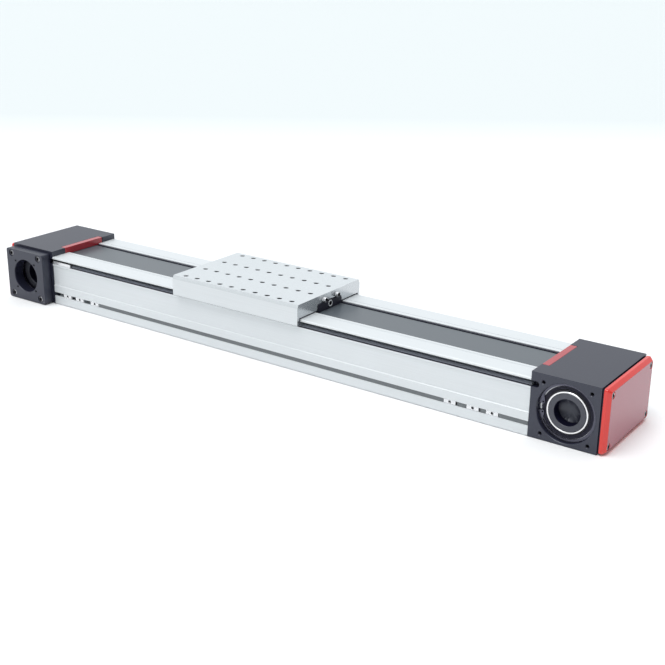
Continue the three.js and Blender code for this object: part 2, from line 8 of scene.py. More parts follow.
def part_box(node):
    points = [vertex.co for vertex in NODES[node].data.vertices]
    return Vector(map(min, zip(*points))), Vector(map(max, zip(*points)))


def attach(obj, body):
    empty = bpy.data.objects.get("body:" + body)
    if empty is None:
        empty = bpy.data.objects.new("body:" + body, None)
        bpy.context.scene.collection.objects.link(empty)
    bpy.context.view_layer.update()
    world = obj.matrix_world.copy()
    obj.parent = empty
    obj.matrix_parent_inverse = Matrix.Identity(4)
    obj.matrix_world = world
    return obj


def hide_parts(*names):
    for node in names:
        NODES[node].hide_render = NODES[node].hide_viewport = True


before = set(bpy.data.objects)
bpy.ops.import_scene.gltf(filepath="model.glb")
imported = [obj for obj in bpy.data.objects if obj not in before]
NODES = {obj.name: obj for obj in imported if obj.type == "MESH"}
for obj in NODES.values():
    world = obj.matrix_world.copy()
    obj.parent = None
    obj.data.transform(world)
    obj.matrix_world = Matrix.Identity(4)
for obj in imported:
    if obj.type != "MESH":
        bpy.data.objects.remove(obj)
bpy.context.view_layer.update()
MM = 0.001

# ---------------------------------------------------------------- places, from the boxes of model.glb and given sizes


def corners_mm(node):
    """Lowest and highest corner of a CAD node, in millimetres."""
    low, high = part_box(node)
    return Vector(low) / MM, Vector(high) / MM


def centre_mm(node):
    low, high = corners_mm(node)
    return (low + high) / 2


AXLE = {end: centre_mm(f"pulley_{name}") for end, name in (("left", "drive"), ("right", "idler"))}
SIDE = {"left": -1, "right": 1}
FACE = {"front": -1, "rear": 1}
PULLEY_BODY = {"left": "drive_pulley", "right": "idler_pulley"}
FRAME_BODY = "axis_frame"
CARRIAGE_BODY = "carriage"

# Sizes in millimetres that the boxes of model.glb don't give. X is along the axis and Z is up.
BOLT_X, BOLT_Z = 36, 39  # tapped holes of a head, from its axle
MOTOR_BOLT = 25.25  # tapped holes of the motor flange, from its axle, both ways
POCKET_X, POCKET_Z, POCKET_HALF = 496.9, 81.4, 4.6  # pocket of a head beside the side slot
HEAD_FACE = 80  # outer face of a head and of the profile, from the middle plane
BEARING_IN, BEARING_OUT = 58.7, 71.7  # end faces of a bearing, from the middle plane
CAP_SCREW_Y = 69
TEETH, STEPS_PER_TOOTH = 24, 8
TOOTH_TIP, TOOTH_ROOT = 37.3, 34.8  # radii
HOLE_PITCH, HOLE_COLUMNS = 25, 10  # tapped holes of the carriage
HOLE_ROWS = ((-75, 17), (-25, 11.5), (25, 11.5), (75, 17))  # (y, depth)
CORNER_STEPS = 6
ROUND = 96  # segments of a large circle

# ---------------------------------------------------------------- mesh tools


def new_object(name, bm):
    """A scene object from a bmesh in millimetres."""
    bmesh.ops.scale(bm, vec=(MM, MM, MM), verts=bm.verts)
    bmesh.ops.recalc_face_normals(bm, faces=bm.faces)
    mesh = bpy.data.meshes.new(name)
    bm.to_mesh(mesh)
    bm.free()
    obj = bpy.data.objects.new(name, mesh)
    bpy.context.scene.collection.objects.link(obj)
    return obj


PLACE = {
    "x": lambda u, v, w: (w, u, v),
    "y": lambda u, v, w: (u, w, v),
    "z": lambda u, v, w: (u, v, w),
}


def add_prism(bm, points, axis, start, end):
    """Closed prism of an outline across an axis: (y, z) for x, (x, z) for y, (x, y) for z."""
    place = PLACE[axis]
    first = [bm.verts.new(place(u, v, start)) for u, v in points]
    last = [bm.verts.new(place(u, v, end)) for u, v in points]
    bm.faces.new(first[::-1])
    bm.faces.new(last)
    for i, vert in enumerate(first):
        j = (i + 1) % len(first)
        bm.faces.new((vert, first[j], last[j], last[i]))
    return bm


def add_loops(bm, loops):
    """Closed solid through a row of loops with equally many points."""
    rows = [[bm.verts.new(point) for point in loop] for loop in loops]
    bm.faces.new(rows[0][::-1])
    bm.faces.new(rows[-1])
    for a, b in zip(rows, rows[1:]):
        for i in range(len(a)):
            j = (i + 1) % len(a)
            bm.faces.new((a[i], a[j], b[j], b[i]))
    return bm


def add_turned(bm, profile, axis, centre, segments, closed=False):
    """Solid turned about an axis through centre: profile of (radius, height along the axis)."""
    place = PLACE[axis]
    rings = []
    for radius, height in profile:
        count = 1 if radius < 1e-6 else segments
        ring = []
        for i in range(count):
            angle = 2 * math.pi * (i + 0.5) / segments
            u, v = radius * math.cos(angle), radius * math.sin(angle)
            ring.append(bm.verts.new(Vector(place(u, v, height)) + Vector(centre)))
        rings.append(ring)
    pairs = list(zip(rings, rings[1:]))
    if closed:
        pairs.append((rings[-1], rings[0]))
    for a, b in pairs:
        for i in range(segments):
            j = (i + 1) % segments
            corners = [a[i % len(a)], a[j % len(a)], b[j % len(b)], b[i % len(b)]]
            corners = list(dict.fromkeys(corners))
            if len(corners) > 2:
                bm.faces.new(corners)
    return bm


def turned(name, profile, axis, centre, segments=ROUND, closed=True):
    return new_object(name, add_turned(bmesh.new(), profile, axis, centre, segments, closed))


def rounded_rectangle(u0, u1, v0, v1, radius):
    points = []
    for cu, cv, start in (
        (u1 - radius, v0 + radius, -90),
        (u1 - radius, v1 - radius, 0),
        (u0 + radius, v1 - radius, 90),
        (u0 + radius, v0 + radius, 180),
    ):
        for i in range(CORNER_STEPS + 1):
            angle = math.radians(start + 90 * i / CORNER_STEPS)
            points.append((cu + radius * math.cos(angle), cv + radius * math.sin(angle)))
    return points


def rectangle(u0, u1, v0, v1):
    return [(u0, v0), (u1, v0), (u1, v1), (u0, v1)]


def span(sign, near, far):
    """Range from near to far on the side of sign, lowest value first."""
    return (near, far) if sign > 0 else (-far, -near)


def add_box(bm, x, y, z):
    return add_prism(bm, rectangle(*y, *z), "x", *x)


def bake_modifiers(obj):
    """Replaces the mesh by its evaluated form, and removes the modifiers."""
    depsgraph = bpy.context.evaluated_depsgraph_get()
    mesh = bpy.data.meshes.new_from_object(obj.evaluated_get(depsgraph))
    obj.modifiers.clear()
    obj.data = mesh


def carve(obj, cutters):
    """Cuts each bmesh of the list from obj."""
    tools = []
    for bm in cutters:
        tool = new_object("cutter", bm)
        modifier = obj.modifiers.new("cut", "BOOLEAN")
        modifier.operation = "DIFFERENCE"
        modifier.solver = "EXACT"
        modifier.object = tool
        tools.append(tool)
    bake_modifiers(obj)
    for tool in tools:
        bpy.data.objects.remove(tool)
    return obj


def round_edges(obj, width, segments=2, angle=32):
    """Small rounded edges as a modifier, width in millimetres."""
    bevel = obj.modifiers.new("edges", "BEVEL")
    bevel.width = width * MM
    bevel.segments = segments
    bevel.limit_method = "ANGLE"
    bevel.angle_limit = math.radians(angle)
    bevel.harden_normals = True


def dress(obj, material, body, *replaced, slot=None, edge=0.0, segments=2, angle=32):
    """Gives a finished piece its material, edges, body and the CAD nodes it stands for."""
    obj.data.materials.clear()
    obj.data.materials.append(material)
    for polygon in obj.data.polygons:
        polygon.use_smooth = True
    if edge:
        round_edges(obj, edge, segments, angle)
    else:
        obj.data.set_sharp_from_angle(angle=math.radians(angle))
    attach(obj, body)
    if replaced:
        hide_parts(*replaced)
    return obj


# ---------------------------------------------------------------- materials


class Graph:
    """A Principled material built node by node."""

    def __init__(self, name):
        self.material = bpy.data.materials.new(name)
        self.material.use_nodes = True
        self.tree = self.material.node_tree
        self.tree.nodes.clear()
        self.output = self.tree.nodes.new("ShaderNodeOutputMaterial")
        self.shader = self.tree.nodes.new("ShaderNodeBsdfPrincipled")
        self.link(self.shader.outputs[0], self.output.inputs["Surface"])
        self.place = self.tree.nodes.new("ShaderNodeTexCoord").outputs["Object"]

    def link(self, source, target):
        self.tree.links.new(source, target)

    def set(self, **values):
        for key, value in values.items():
            self.shader.inputs[key.replace("_", " ")].default_value = value

    def stretched(self, scale):
        node = self.tree.nodes.new("ShaderNodeMapping")
        self.link(self.place, node.inputs["Vector"])
        node.inputs["Scale"].default_value = scale
        return node.outputs["Vector"]

    def radial(self, centre, frequency):
        """Coordinate that runs outwards from the Y axis through centre, for turned faces."""
        minus = self.tree.nodes.new("ShaderNodeVectorMath")
        minus.operation = "SUBTRACT"
        self.link(self.place, minus.inputs[0])
        minus.inputs[1].default_value = centre
        flat = self.tree.nodes.new("ShaderNodeVectorMath")
        flat.operation = "MULTIPLY"
        self.link(minus.outputs[0], flat.inputs[0])
        flat.inputs[1].default_value = (1, 0, 1)
        length = self.tree.nodes.new("ShaderNodeVectorMath")
        length.operation = "LENGTH"
        self.link(flat.outputs[0], length.inputs[0])
        scaled = self.math("MULTIPLY", length.outputs["Value"], frequency)
        join = self.tree.nodes.new("ShaderNodeCombineXYZ")
        self.link(scaled, join.inputs["X"])
        return join.outputs[0]

    def noise(self, vector, scale=1.0, detail=3.0):
        node = self.tree.nodes.new("ShaderNodeTexNoise")
        self.link(vector, node.inputs["Vector"])
        node.inputs["Scale"].default_value = scale
        node.inputs["Detail"].default_value = detail
        node.inputs["Roughness"].default_value = 0.55
        return node.outputs["Fac"]

    def math(self, operation, a, b):
        node = self.tree.nodes.new("ShaderNodeMath")
        node.operation = operation
        for socket, value in zip(node.inputs, (a, b)):
            if isinstance(value, (int, float)):
                socket.default_value = value
            else:
                self.link(value, socket)
        return node.outputs[0]

    def spread(self, value, low, high, source=(0.3, 0.7)):
        node = self.tree.nodes.new("ShaderNodeMapRange")
        self.link(value, node.inputs["Value"])
        node.inputs["From Min"].default_value = source[0]
        node.inputs["From Max"].default_value = source[1]
        node.inputs["To Min"].default_value = low
        node.inputs["To Max"].default_value = high
        return node.outputs["Result"]

    def blend(self, factor, a, b):
        node = self.tree.nodes.new("ShaderNodeMix")
        node.data_type = "RGBA"
        self.link(factor, node.inputs["Factor"])
        for socket, value in zip((node.inputs[6], node.inputs[7]), (a, b)):
            if isinstance(value, tuple):
                socket.default_value = (*value, 1)
            else:
                self.link(value, socket)
        return node.outputs[2]

    def colour(self, socket):
        self.link(socket, self.shader.inputs["Base Color"])

    def roughness(self, socket):
        self.link(socket, self.shader.inputs["Roughness"])

    def bump(self, height, distance_mm):
        node = self.tree.nodes.new("ShaderNodeBump")
        self.link(height, node.inputs["Height"])
        node.inputs["Distance"].default_value = distance_mm * MM
        node.inputs["Strength"].default_value = 1.0
        self.link(node.outputs[0], self.shader.inputs["Normal"])


def shade(colour, factor):
    return tuple(min(1.0, channel * factor) for channel in colour)


ROUGH_CHANGE = 0.06


def surface(
    name, base, metallic, rough, *, ior=1.45, stretch=(700, 700, 700), streak=0.05, grain=900,
    speckle=0.03, patches=0.03, bump_mm=0.01, coat=0.0, tint=None,
    specular_tint=None,
):
    """Surface with directional streaks, fine grain and large faint patches."""
    g = Graph(name)
    g.set(Metallic=metallic, IOR=ior)
    if coat:
        g.set(Coat_Weight=coat, Coat_Roughness=0.08)
    if specular_tint:
        g.set(Specular_Tint=specular_tint)
    streaks = g.noise(g.stretched(stretch), detail=4)
    fine = g.noise(g.place, scale=grain, detail=2)
    large = g.noise(g.place, scale=7, detail=3)
    total = g.math(
        "ADD",
        g.math("MULTIPLY", g.math("SUBTRACT", streaks, 0.5), streak),
        g.math(
            "ADD",
            g.math("MULTIPLY", g.math("SUBTRACT", fine, 0.5), speckle),
            g.math("MULTIPLY", g.math("SUBTRACT", large, 0.5), patches),
        ),
    )
    factor = g.spread(total, 0, 1, (-0.1, 0.1))
    g.colour(g.blend(factor, shade(base, 0.86), tint or shade(base, 1.1)))
    shifted = g.math("ADD", total, 0.5)
    g.roughness(g.spread(shifted, rough - ROUGH_CHANGE, rough + ROUGH_CHANGE, (0.4, 0.6)))
    height = g.math("ADD", g.math("MULTIPLY", streaks, 0.6), g.math("MULTIPLY", fine, 0.4))
    g.bump(height, bump_mm)
    return g.material


def turned_surface(name, base, metallic, rough, end):
    """Turned face with fine concentric tool marks round the axle of a head."""
    g = Graph(name)
    g.set(Metallic=metallic, IOR=1.45)
    centre = Vector(AXLE[end]) * MM
    rings = g.noise(g.radial(centre, 2600), detail=3)
    fine = g.noise(g.place, scale=1200, detail=2)
    mixed = g.math("ADD", g.math("MULTIPLY", rings, 0.7), g.math("MULTIPLY", fine, 0.3))
    g.colour(g.blend(g.spread(mixed, 0, 1), shade(base, 0.85), shade(base, 1.15)))
    g.roughness(g.spread(mixed, rough - 0.07, rough + 0.07))
    g.bump(mixed, 0.02)
    return g.material


ALONG_X = (6, 1500, 1500)
# Drawn clear anodised profile; the same lighter colour on the carriage's outer side faces is
# painted light.
PROFILE_AND_SIDE_LIGHT = surface(
    "drawn_clear_anodised_and_painted_side_light", (0.730, 0.762, 0.780), 0.24, 0.50, ior=1.38, stretch=ALONG_X,
    streak=0.12, grain=1500, speckle=0.03, patches=0.04, bump_mm=0.012,
)
CARRIAGE = surface(
    "blasted_clear_anodised", (0.655, 0.690, 0.710), 0.20, 0.55, stretch=(420, 420, 420),
    streak=0.20, grain=1300, speckle=0.14, patches=0.05, bump_mm=0.03,
)
MILLED = surface(
    "milled_clear_anodised", (0.60, 0.625, 0.645), 0.80, 0.22, stretch=(1400, 12, 1400),
    streak=0.12, grain=1500, speckle=0.05, patches=0.05, bump_mm=0.006,
)
BLACK = surface(
    "black_anodised", (0.009, 0.010, 0.026), 0.0, 0.38, ior=1.68, stretch=(900, 60, 900),
    streak=0.07, grain=1800, speckle=0.08, patches=0.05, bump_mm=0.012, tint=(0.018, 0.019, 0.038),
    specular_tint=(0.90, 0.94, 1.0, 1.0),
)
CAP_RED = surface(
    "gloss_red_moulding", (0.72, 0.034, 0.026), 0.0, 0.24, ior=1.5, stretch=(220, 220, 220),
    streak=0.04, grain=1400, speckle=0.05, patches=0.04, bump_mm=0.006, coat=0.3,
)
# Darker, purplish copy of the cap's red for its flat outer end face: painted shade on that side,
# with a painted reflection in the purple tint.
CAP_RED_PAINTED_SHADE = surface(
    "gloss_red_painted_shade_and_reflection", (0.34, 0.050, 0.085), 0.0, 0.20, ior=1.5, stretch=(220, 220, 220),
    streak=0.04, grain=1400, speckle=0.05, patches=0.04, bump_mm=0.004, coat=0.3,
)
BUMPER_RED = surface(
    "satin_red_strip", (0.42, 0.022, 0.034), 0.0, 0.30, ior=1.5, stretch=(900, 40, 900),
    streak=0.08, grain=1500, speckle=0.08, patches=0.05, bump_mm=0.012, coat=0.4,
)
BELT = surface(
    "grey_polyurethane", (0.098, 0.115, 0.132), 0.0, 0.30, ior=1.5, stretch=(5, 900, 900),
    streak=0.12, grain=1100, speckle=0.08, patches=0.10, bump_mm=0.015,
)
GROUND = surface(
    "ground_steel", (0.52, 0.53, 0.55), 1.0, 0.28, stretch=(20, 1600, 1600), streak=0.12,
    grain=2200, speckle=0.04, patches=0.04, bump_mm=0.006,
)
BRIGHT = surface(
    "bright_zinc", (0.80, 0.81, 0.83), 0.65, 0.24, stretch=(800, 800, 800), streak=0.08,
    grain=2400, speckle=0.05, patches=0.05, bump_mm=0.006,
)
# Dark steel of the belt clamps, the inner races and the threads in the black heads and flange; in
# the carriage's and slot nuts' threads, the screw sockets and the grease port's bore it is painted
# shade.
DARK_STEEL_AND_HOLE_SHADE = surface(
    "dark_steel_and_painted_hole_shade", (0.022, 0.022, 0.030), 0.3, 0.36, stretch=(900, 900, 900), streak=0.10,
    grain=2000, speckle=0.08, patches=0.06, bump_mm=0.01,
)
SPRING = surface(
    "blued_spring_steel", (0.10, 0.10, 0.13), 0.9, 0.26, stretch=(900, 900, 900), streak=0.10,
    grain=2000, speckle=0.06, patches=0.06, bump_mm=0.008,
)
# Black rubber of the seals, gasket and wipers; the same colour on the channel and slot strips is
# painted shade.
BLACK_RUBBER_AND_SHADE = surface(
    "black_rubber_and_painted_shade", (0.008, 0.008, 0.024), 0.0, 0.50, ior=1.42, stretch=(500, 500, 500),
    streak=0.08, grain=1800, speckle=0.10, patches=0.06, bump_mm=0.03,
)
# Near-black colour with weak reflection for the pulley's bore: painted shade inside the hollow
# shaft.
BORE_PAINTED_SHADE = surface(
    "painted_bore_shade", (0.008, 0.008, 0.022), 0.0, 0.45, ior=1.15, stretch=(1500, 8, 1500),
    streak=0.12, grain=1800, speckle=0.06, patches=0.08, bump_mm=0.008,
)
# Slate colour of the strip in the side slot: painted shade of the slot's inside.
SLOT_SHADE_SLATE = surface(
    "painted_slot_shade_slate", (0.20, 0.215, 0.25), 0.0, 0.50, ior=1.45, stretch=(6, 900, 900),
    streak=0.10, grain=1300, speckle=0.05, patches=0.06, bump_mm=0.012,
)
COVER = surface(
    "grey_cover_strip", (0.15, 0.165, 0.175), 0.0, 0.48, ior=1.48, stretch=(6, 1400, 1400),
    streak=0.10, grain=1300, speckle=0.05, patches=0.05, bump_mm=0.012,
)
HUB = {
    end: turned_surface(f"turned_hub_{end}", (0.075, 0.078, 0.095), 0.35, 0.38, end)
    for end in SIDE
}
LOCK = {
    "left": turned_surface("dark_lock_ring", (0.05, 0.05, 0.065), 0.6, 0.34, "left"),
    "right": turned_surface("bright_lock_ring", (0.88, 0.87, 0.88), 1.0, 0.22, "right"),
}

# ---------------------------------------------------------------- repeated small pieces


def hole_cutter(bm, axis, mouth, depth, radius, chamfer, segments=40):
    """Blind hole cutter: mouth is its centre on the surface, depth is signed, into the material."""
    into = 1 if depth > 0 else -1
    profile = [
        (0, depth), (radius, depth), (radius, into * chamfer), (radius + chamfer, 0),
        (radius + chamfer, -into), (0, -into),
    ]
    return add_turned(bm, profile, axis, mouth, segments)


def add_thread(bm, axis, mouth, depth, radius, pitch, start, segments=28):
    """Sleeve with rounded thread crests, from start below the mouth to depth."""
    into = 1 if depth > 0 else -1
    turns = int((abs(depth) - start) / pitch)
    inner = []
    for i in range(turns):
        at = start + i * pitch
        inner += [(radius + 0.02, into * at), (radius - pitch * 0.3, into * (at + pitch / 2))]
    end = start + turns * pitch
    inner.append((radius + 0.02, into * end))
    outer = [(radius + 0.3, into * end), (radius + 0.3, into * start)]
    return add_turned(bm, inner + outer, axis, mouth, segments, closed=True)


def paint_faces(obj, material, chosen):
    """A second material on the faces for which chosen(centre in mm, normal) is true."""
    obj.data.materials.append(material)
    index = len(obj.data.materials) - 1
    for polygon in obj.data.polygons:
        if chosen(Vector(polygon.center) / MM, polygon.normal):
            polygon.material_index = index


def socket_screw(name, centre, axis, out, head_radius, head_height, socket, shank):
    """Cap screw with a knurled head: centre of the head's face, out is +1 or -1 along the axis."""
    bm = bmesh.new()
    into = -out
    count = 48
    place = PLACE[axis]
    rows = []
    for radius, height, knurl in (
        (head_radius - 0.7, 0.0, 0), (head_radius - 0.15, 0.45, 0), (head_radius, 0.9, 0.16),
        (head_radius, head_height, 0.16), (shank, head_height, 0), (shank, head_height + 4, 0),
    ):
        rows.append([
            Vector(place(
                (radius - knurl * (i % 2)) * math.cos(2 * math.pi * i / count),
                (radius - knurl * (i % 2)) * math.sin(2 * math.pi * i / count),
                into * height,
            )) + Vector(centre)
            for i in range(count)
        ])
    add_loops(bm, rows)
    obj = new_object(name, bm)
    cutter = bmesh.new()
    hexagon = [
        (socket * math.cos(math.pi / 3 * i), socket * math.sin(math.pi / 3 * i)) for i in range(6)
    ]
    deep = [Vector(place(u, v, into * head_height * 0.6)) + Vector(centre) for u, v in hexagon]
    open_end = [Vector(place(u, v, out)) + Vector(centre) for u, v in hexagon]
    add_loops(cutter, [deep, open_end])
    return carve(obj, [cutter])


def paint_socket_shade(obj, centre, axis, socket):
    """Painted shade: the dark steel colour on the inside of a screw's hexagon socket."""
    keep = {"x": Vector((0, 1, 1)), "y": Vector((1, 0, 1)), "z": Vector((1, 1, 0))}[axis]
    paint_faces(
        obj, DARK_STEEL_AND_HOLE_SHADE, lambda middle, normal: ((middle - Vector(centre)) * keep).length < socket,
    )


# ---------------------------------------------------------------- profile, rails, slot parts


def keep_node(node, material, edge):
    """A CAD node that stays, with a better material and softened edges."""
    obj = NODES[node]
    obj.data.materials.clear()
    obj.data.materials.append(material)
    round_edges(obj, edge)


# Sections in (y, z) of the strips that run along the profile. Both are painted shade: a black strip
# on the channel wall for the shade between the belt's edge and the wall, and a slate strip in the
# side slot for the shade inside the slot.
CHANNEL_SHADE_STRIP = [
    (37.9, 82.6), (37.9, 88.2), (33.3, 88.2), (33.3, 87.65), (37.3, 87.65), (37.3, 82.6),
]
SLOT_SHADE_BAND = [
    (77.0, 77.3), (73.4, 79.9), (62, 79.95), (62, 79.75), (73.2, 79.65), (75.6, 77.3),
]


def build_profile():
    """The profile and what it holds, with strips of painted shade along the channel's walls and in
    the side slots.
    """
    keep_node("profile", PROFILE_AND_SIDE_LIGHT, 0.3)
    keep_node("belt", BELT, 0.4)
    keep_node("slot_stop", BRIGHT, 0.4)
    for face in FACE:
        keep_node(f"rail_{face}", GROUND, 0.25)
        for end in SIDE:
            keep_node(f"guide_block_{end}_{face}", GROUND, 0.4)
    for i in (1, 2, 3):
        keep_node(f"slot_cover_{i}", COVER, 0.25)
    low, high = corners_mm("profile")
    first, last = low.x + 0.3, high.x - 0.3
    for face, sign in FACE.items():
        # Black strip on the channel wall: painted shade between the belt's edge and the wall.
        lip = new_object(
            f"channel_shade_strip_{face}",
            add_prism(bmesh.new(), [(sign * y, z) for y, z in CHANNEL_SHADE_STRIP], "x", first, last),
        )
        dress(lip, BLACK_RUBBER_AND_SHADE, FRAME_BODY, slot="wiper_rubber", edge=0.15)
        start = corners_mm("slot_stop")[1].x + 0.5 if face == "front" else first
        # Thin black strip on the slot's sill: painted shade along the sill's edge.
        seal = new_object(
            f"slot_shade_seal_{face}",
            add_box(bmesh.new(), (start, last), span(sign, 75.8, 79.9), (76.55, 77.0)),
        )
        dress(seal, BLACK_RUBBER_AND_SHADE, FRAME_BODY, slot="wiper_rubber", edge=0.15)
        # Slate strip in the side slot: painted shade of the slot's inside.
        band = new_object(
            f"slot_shade_band_{face}",
            add_prism(bmesh.new(), [(sign * y, z) for y, z in SLOT_SHADE_BAND], "x", start, last),
        )
        dress(band, SLOT_SHADE_SLATE, FRAME_BODY, slot="cover_plastic", edge=0.05)


def slot_section(low, high, lip):
    """Section of a piece in the lower slot: its neck in the mouth, its foot behind the lips."""
    middle, neck = (low.z + high.z) / 2, 3.1
    return [
        (low.y, middle - neck), (low.y, middle + neck), (lip, middle + neck), (lip, high.z),
        (high.y, high.z), (high.y, low.z), (lip, low.z), (lip, middle - neck),
    ]


def build_slot_parts():
    """Slot nuts with threaded holes, and the short covers between the right-hand nuts."""
    for i in range(1, 7):
        low, high = corners_mm(f"slot_nut_{i}")
        centre = (low + high) / 2
        bm = bmesh.new()
        section = slot_section(low, high, -77.3)
        add_prism(bm, section, "x", low.x, high.x)
        nut = new_object(f"slot_nut_body_{i}", bm)
        mouth = (centre.x, low.y, centre.z)
        carve(nut, [hole_cutter(bmesh.new(), "y", mouth, 4.4, 2.1, 0.4)])
        dress(nut, BRIGHT, FRAME_BODY, f"slot_nut_{i}", slot="bright_steel", edge=0.3)
        # Dark steel thread in the bright nut's hole: painted shade in the hole.
        sleeve = new_object(
            f"slot_nut_thread_{i}", add_thread(bmesh.new(), "y", mouth, 4.2, 2.1, 0.8, 0.5),
        )
        dress(sleeve, DARK_STEEL_AND_HOLE_SHADE, FRAME_BODY, slot="bright_steel", angle=50)
    cover_low, cover_high = corners_mm("slot_cover_2")
    for i in (4, 5):
        left = corners_mm(f"slot_nut_{i}")[1].x
        right = corners_mm(f"slot_nut_{i + 1}")[0].x
        section = slot_section(cover_low, cover_high, -77.5)
        piece = new_object(
            f"slot_cover_short_{i - 3}", add_prism(bmesh.new(), section, "x", left + 3, right - 1),
        )
        dress(piece, COVER, FRAME_BODY, slot="cover_plastic", edge=0.25)


# ---------------------------------------------------------------- end heads


def build_head(end):
    """Black head with its pulley room, bearing seats, belt windows, tapped holes and pockets."""
    side, axle = SIDE[end], AXLE[end]
    low, high = corners_mm(f"head_{end}")
    inner, outer = (low.x, high.x) if side > 0 else (high.x, low.x)
    bm = add_box(bmesh.new(), (low.x, high.x), (low.y, high.y), (low.z, high.z))
    body = new_object(f"head_body_{end}", bm)
    room = add_turned(
        bmesh.new(), [(0, -35.2), (43.2, -35.2), (43.2, 35.2), (0, 35.2)], "y", axle, ROUND,
    )
    bore = add_turned(bmesh.new(), [(0, -60), (36, -60), (36, 60), (0, 60)], "y", axle, ROUND)
    windows = bmesh.new()
    for z0, z1 in ((80.5, 88.0), (8.0, 16.0)):
        add_box(windows, sorted((inner - side, axle.x)), (-33.5, 33.5), (z0, z1))
    bumper_low, bumper_high = corners_mm(f"bumper_{end}")
    far = (bumper_high.x if side > 0 else bumper_low.x) + 0.3 * side
    recess = add_box(
        bmesh.new(), sorted((inner - side, far)), (bumper_low.y - 0.3, bumper_high.y + 0.3),
        (bumper_low.z - 0.3, high.z + 1),
    )
    seats, mouths, holes, pockets = bmesh.new(), bmesh.new(), bmesh.new(), bmesh.new()
    threads = bmesh.new()
    for sign in FACE.values():
        seat = [(0, sign * 58.4), (42.7, sign * 58.4), (42.7, sign * 81), (0, sign * 81)]
        add_turned(seats, seat, "y", (axle.x, 0, axle.z), ROUND)
        mouth = [
            (0, sign * 71.9), (44.2, sign * 71.9), (44.2, sign * 79.2), (45.2, sign * 80.1),
            (45.2, sign * 82), (0, sign * 82),
        ]
        add_turned(mouths, mouth, "y", (axle.x, 0, axle.z), ROUND)
        for dx in (-BOLT_X, BOLT_X):
            for dz in (-BOLT_Z, BOLT_Z):
                place = (axle.x + dx, sign * HEAD_FACE, axle.z + dz)
                hole_cutter(holes, "y", place, -sign * 18, 2.5, 0.9)
                add_thread(threads, "y", place, -sign * 12, 2.5, 1.0, 1.1)
        y0, y1 = span(sign, 68, 81)
        add_box(
            pockets, sorted((inner - side, side * POCKET_X)), (y0, y1),
            (POCKET_Z - POCKET_HALF, POCKET_Z + POCKET_HALF),
        )
    rounds = bmesh.new()
    for sign in FACE.values():
        y0, y1 = span(sign, 68, 81)
        profile = [(0, y0), (POCKET_HALF, y0), (POCKET_HALF, y1), (0, y1)]
        add_turned(rounds, profile, "y", (side * POCKET_X, 0, POCKET_Z), 40)
    carve(body, [room, bore, windows, recess, seats, mouths, holes, pockets, rounds])
    dress(body, BLACK, FRAME_BODY, f"head_{end}", slot="black_anodised", edge=0.3)
    sleeve = new_object(f"head_threads_{end}", threads)
    dress(sleeve, DARK_STEEL_AND_HOLE_SHADE, FRAME_BODY, slot="black_anodised", angle=50)


def build_bumper(end):
    """Red strip in the head's inner top edge."""
    low, high = corners_mm(f"bumper_{end}")
    outline = rounded_rectangle(low.x, high.x, low.y, high.y, 2.0)
    piece = new_object(
        f"bumper_strip_{end}", add_prism(bmesh.new(), outline, "z", low.z, high.z),
    )
    dress(
        piece, BUMPER_RED, FRAME_BODY, f"bumper_{end}", slot="bumper_plastic", edge=0.6, segments=3,
    )


def build_cap(end):
    """Black gasket, red cap with a chamfered rim, and its four corner screws."""
    side = SIDE[end]
    low, high = corners_mm(f"end_cap_{end}")
    near, far = (low.x, high.x) if side > 0 else (high.x, low.x)
    seam = near + side * 2.2
    edge = far - side * 5.5

    def loop(x, inset, radius):
        outline = rounded_rectangle(
            low.y + inset, high.y - inset, low.z + inset, high.z - inset, radius,
        )
        return [(x, y, z) for y, z in outline]

    gasket = new_object(
        f"cap_gasket_{end}",
        add_loops(bmesh.new(), [loop(near, 1.6, 2.4), loop(seam - side * 0.1, 1.6, 2.4)]),
    )
    dress(gasket, BLACK_RUBBER_AND_SHADE, FRAME_BODY, slot="wiper_rubber", edge=0.2)
    cap = new_object(
        f"cap_shell_{end}",
        add_loops(bmesh.new(), [loop(seam, 0, 4), loop(edge, 0, 4), loop(far, 4.5, 3)]),
    )
    holes = bmesh.new()
    places = [(y, z) for y in (-CAP_SCREW_Y, CAP_SCREW_Y) for z in (low.z + 10, high.z - 10.5)]
    for y, z in places:
        profile = [
            (0, -side * 14), (2.9, -side * 14), (2.9, -side * 4), (5.1, -side * 4),
            (5.1, -side * 0.4), (5.5, 0), (5.5, side), (0, side),
        ]
        add_turned(holes, profile, "x", (far, y, z), 40)
    carve(cap, [holes])
    dress(
        cap, CAP_RED, FRAME_BODY, f"end_cap_{end}", slot="cap_plastic", edge=0.7, segments=3,
        angle=25,
    )
    # The outer end face gets the darker, purplish red: painted shade and painted reflection.
    paint_faces(cap, CAP_RED_PAINTED_SHADE, lambda centre, normal: side * centre.x > side * far - 0.1)
    for number, (y, z) in enumerate(places, 1):
        screw = socket_screw(
            f"cap_corner_screw_{end}_{number}", (far - side * 0.3, y, z), "x", side,
            4.6, 3.4, 2.5, 2.3,
        )
        replaced = [f"cap_screw_{end}_{number}"] if end == "right" else []
        dress(screw, GROUND, FRAME_BODY, *replaced, slot="ground_steel", edge=0.12)
        paint_socket_shade(screw, (far, y, z), "x", 2.4)


